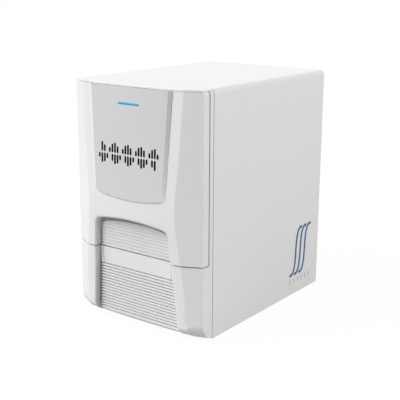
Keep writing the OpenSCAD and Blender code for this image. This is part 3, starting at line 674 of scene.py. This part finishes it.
@dataclass
class Casework:
    """White covers, grey panel and tray front, with eased edges."""

    cover_edge: float = 0.5 * MM
    wrap_edge: float = 0.6 * MM
    wrap_segments: int = 3
    fine_edge: float = 0.35 * MM
    slat_edge: float = 0.2 * MM
    rim_edge: float = 4.0 * MM
    lip_edge: float = 0.8 * MM
    half_mouth: float = 92 * MM
    arch_over_ribs: float = 10 * MM
    arch_tall: float = 40 * MM
    rim_before_ribs: float = 3 * MM
    lip_gap: float = 0.6 * MM
    lip_under_top: float = 0.2 * MM
    seat_margin: float = 1 * MM
    bevel_area: float = 3 * MM * MM

    # Share of an axis in a face's normal: next to none for a wall along it, nearly all for a face across it
    ALONG: ClassVar[float] = 0.05
    LEANING: ClassVar[float] = 0.3
    SLANTING: ClassVar[float] = 0.5
    STEEP: ClassVar[float] = 0.6
    FLATTEST: ClassVar[float] = 0.97
    # Products closer to zero than this are rounding errors
    ROUNDING: ClassVar[float] = 1e-6

    def build(self, paints: Paints) -> None:
        """Ease every piece of the case that shows.

        Args:
            paints: Finishes by slot.
        """
        mouth = {"rim": self._at_mouth, "rim_width": self.rim_edge}
        lip = {"rim": self._on_lip, "rim_width": self.lip_edge}
        pieces = (
            EasedNode("wrap_cover", self.wrap_edge, self.wrap_segments, **lip, keep=self._at_lip_gap),
            EasedNode("upper_front_cover", self.cover_edge, **mouth, keep=self._at_gaps),
            EasedNode("lower_front_cover", self.cover_edge, **mouth),
            EasedNode("intake_grille", self.slat_edge),
            EasedNode("tray_front", self.cover_edge),
            EasedNode("rear_panel", self.fine_edge),
        )
        for piece in pieces:
            piece.build(paints)
        ribs = EasedNode("rib_panel", self.fine_edge).build(paints)
        paints.dress(ribs, RIB_PLASTIC.slot)
        panel = EasedNode("fascia_panel", self.fine_edge, keep=self._at_lip_gap).build(paints)
        # The vent slots' walls get the dark finish, painted shade that darkens the slots
        paints.touch_up(panel, "dark_plastic", self._in_slot)
        # The bevel faces get the lighter copy of the panel's finish, a painted highlight along the panel's
        # edges
        paints.touch_up(panel, PANEL_BEVEL_PAINTED_HIGHLIGHT.slot, self._on_bevel)

    def _at_mouth(self, edge: bmesh.types.BMEdge) -> bool:
        """Tell whether an edge runs round the mouth of the arched recess.

        Args:
            edge: Edge of a front cover.

        Returns:
            True for the edge between the bowed front and the recess wall.
        """
        front = [face for face in edge.link_faces if face.normal.y < -FACING]
        wall = [face for face in edge.link_faces if abs(face.normal.y) < self.ALONG]
        if len(edge.link_faces) != 2 or len(front) != 1 or len(wall) != 1:
            return False
        middle = middle_of(edge)
        low, high = box_of("rib_panel")
        arch_top = high.z + self.arch_over_ribs
        if abs(middle.x) > self.half_mouth or middle.z > arch_top:
            return False
        if middle.y > low.y - self.rim_before_ribs:
            return False
        inward = wall[0].normal
        beside = inward.x * middle.x < -self.ROUNDING
        above = inward.z < -self.SLANTING and middle.z > arch_top - self.arch_tall
        return beside or above

    def _on_lip(self, edge: bmesh.types.BMEdge) -> bool:
        """Tell whether an edge runs along the top of the wrap cover's front lip.

        Args:
            edge: Edge of the wrap cover.

        Returns:
            True for the edge between the top and the lip's front.
        """
        top = box_of("wrap_cover")[1].z
        seam = box_of("lower_front_cover")[1].y
        middle = middle_of(edge)
        normals = [face.normal for face in edge.link_faces]
        upright = [n for n in normals if abs(n.z) < self.LEANING and n.y < -self.LEANING]
        return len(upright) == 1 and middle.y < seam and middle.z > top - self.lip_under_top

    def _at_lip_gap(self, edge: bmesh.types.BMEdge) -> bool:
        """Tell whether an edge borders the narrow gap under the wrap cover's front lip."""
        height = box_of("upper_front_cover")[1].z
        return all(abs(point.co.z - height) < self.lip_gap for point in edge.verts)

    def _at_gaps(self, edge: bmesh.types.BMEdge) -> bool:
        """Tell whether an edge borders the narrow gap round the grey panel or under the lip.

        Args:
            edge: Edge of the upper front cover.

        Returns:
            True for an edge that stays as it is.
        """
        low, high = box_of("fascia_panel")
        middle = middle_of(edge)
        beside = low.x - self.seat_margin < middle.x < high.x + self.seat_margin
        round_panel = beside and middle.z > low.z - self.seat_margin
        in_front = any(face.normal.y < -FACING for face in edge.link_faces)
        return self._at_lip_gap(edge) or round_panel and in_front

    def _in_slot(self, side: bpy.types.MeshPolygon) -> bool:
        """Tell whether a face of the grey panel is the wall of a vent slot.

        Args:
            side: Face of the panel.

        Returns:
            True for a steep face among the slots.
        """
        low, high = box_of("vent_screen")
        inside = low.x < side.center.x < high.x and low.z < side.center.z < high.z
        return inside and abs(side.normal.y) < self.STEEP

    def _on_bevel(self, side: bpy.types.MeshPolygon) -> bool:
        """Tell whether a face of the grey panel is part of its bevel.

        Args:
            side: Face of the panel.

        Returns:
            True for a broad slanting face outside the slots.
        """
        slanting = -self.FLATTEST < side.normal.y < -self.SLANTING
        return slanting and side.area > self.bevel_area and not self._in_slot(side)


@dataclass
class Fittings:
    """Sockets, switch, motors and inner parts, with their edges broken."""

    moulded: float = 0.5 * MM
    machined: float = 0.3 * MM
    fine: float = 0.15 * MM

    def build(self, paints: Paints) -> None:
        """Ease every fitting.

        Args:
            paints: Finishes by slot.
        """
        widths = {
            self.moulded: (
                "feet", "power_inlet", "switch_frame", "power_rocker", "light_bar", "sink_fan_frame",
                "rear_fan_frame", "sink_fan_rotor", "rear_fan_rotor", "scan_carriage",
            ),
            self.machined: (
                "base_pan", "usb_port", "tray_frame", "lift_frame", "lid_frame", "tray_motor",
                "lift_motor", "scan_motor", "block_deck", "power_supply", "heat_sink", "sample_block",
            ),
            self.fine: (
                "tray_nut", "lift_nut", "screw_coupling", "drive_pulley", "idler_pulley", "guide_posts",
                "tray_rails", "scan_brackets",
            ),
        }
        for width, nodes in widths.items():
            for node in nodes:
                EasedNode(node, width).build(paints)


@dataclass
class SideMotif:
    """Printed growth curves over a row of ticks, on the right side of the case.

    The first curve has its foot at near and low. It rises by tall over the length of the sweep, and pull
    is the share of the sweep that its handles reach along. The other curves follow at the pitch.
    """

    low: float = 45 * MM
    tall: float = 86 * MM
    near: float = 97 * MM
    sweep: float = 34 * MM
    pull: float = 0.85
    pitch: float = 15.5 * MM
    count: int = 3
    stroke: float = 5.8 * MM
    proud: float = 0.1 * MM
    ticks: int = 6
    tick_tall: float = 8 * MM
    tick_wide: float = 3 * MM
    tick_edge: float = 1.35 * MM
    tick_drop: float = 12 * MM

    ROUND: ClassVar[int] = 16
    CURVE_STEPS: ClassVar[int] = 24
    EDGE_STEPS: ClassVar[int] = 3

    def build(self, paints: Paints) -> None:
        """Print the curves and the ticks.

        Args:
            paints: Finishes by slot.
        """
        body = body_of("wrap_cover")
        side = box_of("wrap_cover")[1].x
        curves = repeat(self._curve(), (0.0, self.pitch, 0.0), self.count)
        self._flatten(curves, side, self.proud / (self.stroke / 2))
        bake(curves, "growth_curves", paints, MOTIF_BLUE.slot, body)
        span = self.sweep + (self.count - 1) * self.pitch
        ticks = repeat(self._tick(), (0.0, span / (self.ticks - 1), 0.0), self.ticks)
        self._flatten(ticks, side, self.proud / (self.tick_wide / 2))
        bake(ticks, "axis_ticks", paints, MOTIF_GREY.slot, body)

    def _curve(self) -> bpy.types.Object:
        """Draw the first stroke, from a flat foot over a steep rise to a flat head.

        Returns:
            A round stroke with round ends, in the plane of X = 0.
        """
        stroke = add(bpy.ops.curve.primitive_bezier_curve_add)
        line = stroke.data
        line.bevel_depth = self.stroke / 2
        line.bevel_resolution = self.EDGE_STEPS
        line.resolution_u = self.CURVE_STEPS
        line.use_fill_caps = True
        foot = (self.near, self.low, self.pull)
        head = (self.near + self.sweep, self.low + self.tall, -self.pull)
        for point, (y, z, pull) in zip(line.splines[0].bezier_points, (foot, head)):
            point.handle_left_type = point.handle_right_type = "FREE"
            point.co = (0.0, y, z)
            point.handle_left = point.handle_right = (0.0, y + pull * self.sweep, z)
        only(stroke)
        bpy.ops.object.convert(target="MESH")
        weld(stroke)
        return join([stroke, self._tip(*foot[:2]), self._tip(*head[:2])])

    def _tip(self, y: float, z: float) -> bpy.types.Object:
        """Round end of a stroke.

        Args:
            y: Place along Y.
            z: Place along Z.

        Returns:
            A ball as thick as the stroke.
        """
        return add(
            bpy.ops.mesh.primitive_uv_sphere_add,
            radius=self.stroke / 2,
            segments=self.ROUND,
            ring_count=self.ROUND // 2,
            location=(0.0, y, z),
        )

    def _tick(self) -> bpy.types.Object:
        """Draw the first tick, with round ends.

        Returns:
            A round bar in the plane of X = 0.
        """
        tick = add(
            bpy.ops.mesh.primitive_cylinder_add,
            vertices=self.ROUND,
            radius=self.tick_wide / 2,
            depth=self.tick_tall,
            location=(0.0, self.near, self.low - self.tick_drop),
        )
        apply_modifier(tick, "BEVEL", width=self.tick_edge, segments=self.EDGE_STEPS, limit_method="ANGLE")
        return tick

    @staticmethod
    def _flatten(piece: bpy.types.Object, side: float, share: float) -> None:
        """Press a piece flat along X and move it onto the side.

        Args:
            piece: Row of marks in the plane of X = 0.
            side: Place of the side along X.
            share: Part of its thickness that it keeps.
        """
        settle(piece)
        piece.scale.x = share
        piece.location.x = side


@dataclass
class TrayDots:
    """Three moulded dots at the right of the tray front."""

    radius: float = 0.5 * MM
    proud: float = 0.15 * MM
    edge: float = 0.09 * MM
    lean: float = math.radians(2.653)
    first: float = 45 * MM
    pitch: float = 8 * MM
    count: int = 3
    below_top: float = 13 * MM

    ROUND: ClassVar[int] = 20
    EDGE_STEPS: ClassVar[int] = 2

    def build(self, paints: Paints) -> None:
        """Raise the dots on the tray front.

        Args:
            paints: Finishes by slot.
        """
        low, high = box_of("tray_front")
        face = low.y + math.tan(self.lean) * self.below_top
        dot = add(
            bpy.ops.mesh.primitive_cylinder_add,
            vertices=self.ROUND,
            radius=self.radius,
            depth=2 * self.proud,
            location=(self.first, face, high.z - self.below_top),
            rotation=(math.pi / 2 + self.lean, 0.0, 0.0),
        )
        apply_modifier(dot, "BEVEL", width=self.edge, segments=self.EDGE_STEPS, limit_method="ANGLE")
        dots = repeat(dot, (self.pitch, 0.0, 0.0), self.count)
        bake(dots, "tray_dots", paints, MOTIF_GREY.slot, body_of("tray_front"))


@dataclass
class CaseScrews:
    """Cross-recess screws round the rear panel."""

    head_r: float = 3.0 * MM
    head_h: float = 2.0 * MM
    head_edge: float = 0.7 * MM
    shank_r: float = 1.5 * MM
    shank_l: float = 8.0 * MM
    cross: float = 3.2 * MM
    cross_w: float = 0.8 * MM
    cross_d: float = 1.2 * MM
    across: tuple[float, ...] = (-118 * MM, 118 * MM)
    up: tuple[float, ...] = (18 * MM, 148 * MM, 278 * MM, 394 * MM)
    turn: float = math.radians(37)

    ROUND: ClassVar[int] = 32
    EDGE_STEPS: ClassVar[int] = 4
    EDGE_ANGLE: ClassVar[float] = math.radians(60)

    def build(self, paints: Paints) -> None:
        """Make the screws in place of the plain ones, each turned a little further.

        Args:
            paints: Finishes by slot.
        """
        face = box_of("case_screws")[1].y - self.head_h
        model = self._screw()
        screws = []
        for index, (x, z) in enumerate(product(self.across, self.up)):
            screw = copy_of(model)
            screw.rotation_euler = (-math.pi / 2, self.turn * index, 0.0)
            screw.location = (x, face, z)
            settle(screw)
            screws.append(screw)
        bpy.data.objects.remove(model)
        slot = paints.slots["case_screws"]
        piece = bake(join(screws), "cross_screws", paints, slot, body_of("case_screws"))
        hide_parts("case_screws")

    def _screw(self) -> bpy.types.Object:
        """Model one screw.

        Returns:
            A screw along Z, with the underside of its head at Z = 0.
        """
        head = add(
            bpy.ops.mesh.primitive_cylinder_add,
            vertices=self.ROUND,
            radius=self.head_r,
            depth=self.head_h,
            location=(0.0, 0.0, self.head_h / 2),
        )
        settle(head)
        self._draw_shank(head)
        apply_modifier(head, "BEVEL", width=self.head_edge, segments=self.EDGE_STEPS,
                       limit_method="ANGLE", angle_limit=self.EDGE_ANGLE)
        for turn in (0.0, math.pi / 2):
            self._cut(head, turn)
        return head

    def _draw_shank(self, head: bpy.types.Object) -> None:
        """Draw the shank out of the underside of the head.

        Args:
            head: Plain round head.
        """
        only(head)
        bpy.ops.object.mode_set(mode="EDIT")
        bpy.ops.mesh.select_mode(type="FACE")
        bpy.ops.mesh.select_all(action="DESELECT")
        mesh = bmesh.from_edit_mesh(head.data)
        for side in mesh.faces:
            side.select_set(side.normal.z < -FACING)
        bmesh.update_edit_mesh(head.data)
        bpy.ops.mesh.inset(thickness=self.head_r - self.shank_r, depth=0.0)
        bpy.ops.mesh.extrude_region_move(TRANSFORM_OT_translate={"value": (0.0, 0.0, -self.shank_l)})
        bpy.ops.object.mode_set(mode="OBJECT")

    def _cut(self, head: bpy.types.Object, turn: float) -> None:
        """Cut one slot of the cross into the head.

        Args:
            head: Screw to cut.
            turn: Angle of the slot about Z.
        """
        cutter = add(
            bpy.ops.mesh.primitive_cube_add,
            size=1.0,
            location=(0.0, 0.0, self.head_h),
            rotation=(0.0, 0.0, turn),
        )
        cutter.scale = (self.cross, self.cross_w, 2 * self.cross_d)
        settle(cutter)
        apply_modifier(head, "BOOLEAN", operation="DIFFERENCE", object=cutter, solver="EXACT")
        bpy.data.objects.remove(cutter)


@dataclass
class LeadScrew:
    """A drive screw with a real thread in place of the plain rod."""

    node: str
    lead: float
    starts: int
    along_y: bool = False
    crest_r: float = 4.0 * MM
    depth: float = 0.7 * MM
    journal: float = 0.0
    journal_r: float = 2.5 * MM
    journal_edge: float = 0.4 * MM
    overlap: float = 0.5 * MM

    ROUND: ClassVar[int] = 32
    EDGE_STEPS: ClassVar[int] = 2
    # Outline of one tooth: shares of the pitch, with the rise there as a share of the depth
    TOOTH: ClassVar[tuple[tuple[float, float], ...]] = (
        (0.0, 0.0), (0.32, 0.0), (0.45, 1.0), (0.75, 1.0), (0.88, 0.0),
    )

    def build(self, paints: Paints) -> None:
        """Wind the thread and put it in the rod's place.

        Args:
            paints: Finishes by slot.
        """
        low, high = box_of(self.node)
        middle = (low + high) / 2
        length = (high.y - low.y) if self.along_y else (high.z - low.z - self.journal)
        thread = self._thread(length)
        if self.along_y:
            thread.rotation_euler = (-math.pi / 2, 0.0, 0.0)
            thread.location = (middle.x, low.y, middle.z)
        else:
            thread.location = (middle.x, middle.y, low.z + self.journal)
        settle(thread)
        pieces = [thread]
        if self.journal:
            pieces.append(self._journal(Vector((middle.x, middle.y, low.z))))
        slot = paints.slots[self.node]
        piece = bake(join(pieces), self.node + "_thread", paints, slot, body_of(self.node))
        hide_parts(self.node)

    def _thread(self, length: float) -> bpy.types.Object:
        """Wind a trapezoid profile up the axis and trim it to length.

        Args:
            length: Length of the rod.

        Returns:
            A threaded rod along Z from 0 to the length.
        """
        thread = self._profile()
        turns = math.ceil(length / self.lead) + 1
        apply_modifier(thread, "SCREW", angle=math.tau, screw_offset=self.lead, iterations=turns,
                       steps=self.ROUND, render_steps=self.ROUND,
                       use_merge_vertices=True, merge_threshold=SAME_POINT / 2)
        weld(thread)
        bpy.ops.object.mode_set(mode="EDIT")
        for height, above in ((0.0, False), (length, True)):
            bpy.ops.mesh.select_all(action="SELECT")
            bpy.ops.mesh.bisect(plane_co=(0.0, 0.0, height), plane_no=(0.0, 0.0, 1.0), use_fill=True,
                                clear_inner=not above, clear_outer=above)
        bpy.ops.mesh.select_all(action="SELECT")
        bpy.ops.mesh.normals_make_consistent(inside=False)
        bpy.ops.object.mode_set(mode="OBJECT")
        return thread

    def _profile(self) -> bpy.types.Object:
        """Draw one lead of the thread's profile, from point to point.

        Returns:
            An open line beside the Z axis, one lead long and ending at Z = 0.
        """
        pitch = self.lead / self.starts
        root_r = self.crest_r - self.depth
        line = [
            Vector((root_r + rise * self.depth, 0.0, (start + share) * pitch - self.lead))
            for start in range(self.starts)
            for share, rise in self.TOOTH
        ]
        line.append(Vector((root_r, 0.0, 0.0)))
        profile = add(bpy.ops.mesh.primitive_plane_add, size=self.depth)
        bpy.ops.object.mode_set(mode="EDIT")
        bpy.ops.mesh.select_mode(type="VERT")
        bpy.ops.mesh.select_all(action="SELECT")
        bpy.ops.mesh.merge(type="CENTER")
        bpy.ops.transform.translate(value=line[0])
        for here, there in zip(line, line[1:]):
            bpy.ops.mesh.extrude_vertices_move(TRANSFORM_OT_translate={"value": there - here})
        bpy.ops.object.mode_set(mode="OBJECT")
        return profile

    def _journal(self, foot: Vector) -> bpy.types.Object:
        """Turn the plain lower end down to the motor's shaft.

        Args:
            foot: Lower end of the rod.

        Returns:
            The journal, in place.
        """
        tall = self.journal + self.overlap
        journal = add(
            bpy.ops.mesh.primitive_cylinder_add,
            vertices=self.ROUND,
            radius=self.journal_r,
            depth=tall,
            location=foot + Vector((0.0, 0.0, tall / 2)),
        )
        apply_modifier(journal, "BEVEL", width=self.journal_edge, segments=self.EDGE_STEPS,
                       limit_method="ANGLE")
        return journal


def heading(azimuth: float, height: float) -> Vector:
    """Direction from the object.

    Args:
        azimuth: Degrees to the right of straight in front.
        height: Degrees above the level.

    Returns:
        A unit vector.
    """
    turn = math.radians(azimuth)
    lift = math.radians(height)
    return Vector((math.sin(turn) * math.cos(lift), -math.cos(turn) * math.cos(lift), math.sin(lift)))


@dataclass(frozen=True)
class Lamp:
    """One broad sun lamp, its angles in degrees."""

    name: str
    strength: float
    azimuth: float
    height: float
    spread: float

    def hang(self) -> None:
        """Add the lamp, aimed at the object."""
        lamp = add(bpy.ops.object.light_add, type="SUN")
        lamp.name = self.name
        lamp.data.energy = self.strength
        lamp.data.angle = math.radians(self.spread)
        lamp.rotation_euler = heading(self.azimuth, self.height).to_track_quat("Z", "Y").to_euler()


@dataclass(frozen=True)
class Card:
    """A dark or grey card that only reflections show."""

    name: str
    place: Triple
    size: float
    glow: float

    def stand(self) -> None:
        """Stand the card up, turned towards the object."""
        card = add(bpy.ops.mesh.primitive_plane_add, size=self.size, location=self.place)
        card.name = self.name
        card.rotation_euler = (-Vector(self.place)).to_track_quat("Z", "Y").to_euler()
        material = bpy.data.materials.new(self.name)
        shader = Shader(material)
        lit = shader.node("ShaderNodeEmission", inputs={"Color": WHITE, "Strength": self.glow})
        shader.node("ShaderNodeOutputMaterial", inputs={"Surface": lit})
        card.data.materials.append(material)
        card.visible_camera = False
        card.visible_diffuse = False
        card.visible_shadow = False
        card.visible_transmission = False


@dataclass
class Studio:
    """Pale floor, soft light and the camera, with angles in degrees and lens and sensor in millimetres."""

    floor_size: float = 12.0
    floor_color: Color = (0.38, 0.38, 0.38)
    floor_glow: float = 0.9
    sky: float = 0.5
    lamps: tuple[Lamp, ...] = (
        Lamp("key", 2.62, -42.0, 37.5, 45.0),
        Lamp("fill", 1.75, 112.0, 8.0, 60.0),
    )
    cards: tuple[Card, ...] = (
        Card("dark_card", (0.60, -1.0, 0.05), 1.1, 0.0),
        Card("grey_card", (-0.55, -1.5, 0.12), 0.7, 0.35),
    )
    azimuth: float = 36.68
    height: float = 14.726
    roll: float = 0.263
    lens: float = 76.453
    sensor: float = 36.0
    place: Triple = (0.86536, -1.16437, 0.56806)

    def build(self) -> None:
        """Make the floor, the world, the lamps, the cards and the camera."""
        self._floor()
        self._world()
        for lamp in self.lamps:
            lamp.hang()
        for card in self.cards:
            card.stand()
        self._camera()
        LOG.info("studio built")

    @staticmethod
    def _seen(shader: Shader) -> Wire:
        """One for rays that show a surface, zero for rays that light one.

        Args:
            shader: Tree that the nodes go into.

        Returns:
            The wire of the mask.
        """
        names = ("Is Camera Ray", "Is Glossy Ray", "Is Transmission Ray")
        camera, glossy, through = (shader.node("ShaderNodeLightPath", output=name) for name in names)
        return camera + glossy + through

    def _floor(self) -> None:
        """Lay a floor that shows white to the camera and keeps a shadow."""
        floor = add(bpy.ops.mesh.primitive_plane_add, size=self.floor_size)
        floor.name = "floor"
        material = bpy.data.materials.new("floor")
        shader = Shader(material)
        matt = shader.node("ShaderNodeBsdfDiffuse", inputs={"Color": (*self.floor_color, 1.0)})
        # The glow makes up what the matt share of a fully lit floor lacks of white
        glow = (1.0 - (1.0 - self.floor_glow) * self.floor_color[0]) / self.floor_glow
        lit = shader.node("ShaderNodeEmission", inputs={"Color": WHITE, "Strength": glow})
        seen = self._seen(shader) * self.floor_glow
        both = shader.node("ShaderNodeMixShader", inputs={0: seen, 1: matt, 2: lit})
        shader.node("ShaderNodeOutputMaterial", inputs={"Surface": both})
        floor.data.materials.append(material)

    def _world(self) -> None:
        """Light the object evenly and show white behind it."""
        world = bpy.data.worlds.new("studio")
        bpy.context.scene.world = world
        shader = Shader(world)
        strength = self.sky + self._seen(shader) * (1.0 - self.sky)
        back = shader.node("ShaderNodeBackground", inputs={"Color": WHITE, "Strength": strength})
        shader.node("ShaderNodeOutputWorld", inputs={"Surface": back})

    def _camera(self) -> None:
        """Stand the camera at the photograph's viewing angle."""
        camera = add(bpy.ops.object.camera_add, location=self.place)
        aim = heading(self.azimuth, self.height).to_track_quat("Z", "Y").to_matrix().to_4x4()
        spin = Matrix.Rotation(math.radians(self.roll), 4, "Z")
        camera.matrix_world = Matrix.Translation(self.place) @ aim @ spin
        camera.data.lens = self.lens
        camera.data.sensor_width = self.sensor
        bpy.context.scene.camera = camera
        bpy.context.scene.view_settings.view_transform = "Standard"


def main() -> None:
    """Build the studio, dress the nodes and make each sub-assembly in order."""
    logging.basicConfig(level=logging.INFO, format="%(name)s: %(message)s")
    Studio().build()
    paints = Paints()
    paints.dress_nodes()
    for assembly in (
        Casework(),
        Fittings(),
        SideMotif(),
        TrayDots(),
        CaseScrews(),
        LeadScrew("tray_screw", 12 * MM, 4, along_y=True),
        LeadScrew("lift_screw", 4 * MM, 1, journal=12 * MM),
    ):
        assembly.build(paints)


if __name__ == "__main__":
    main()
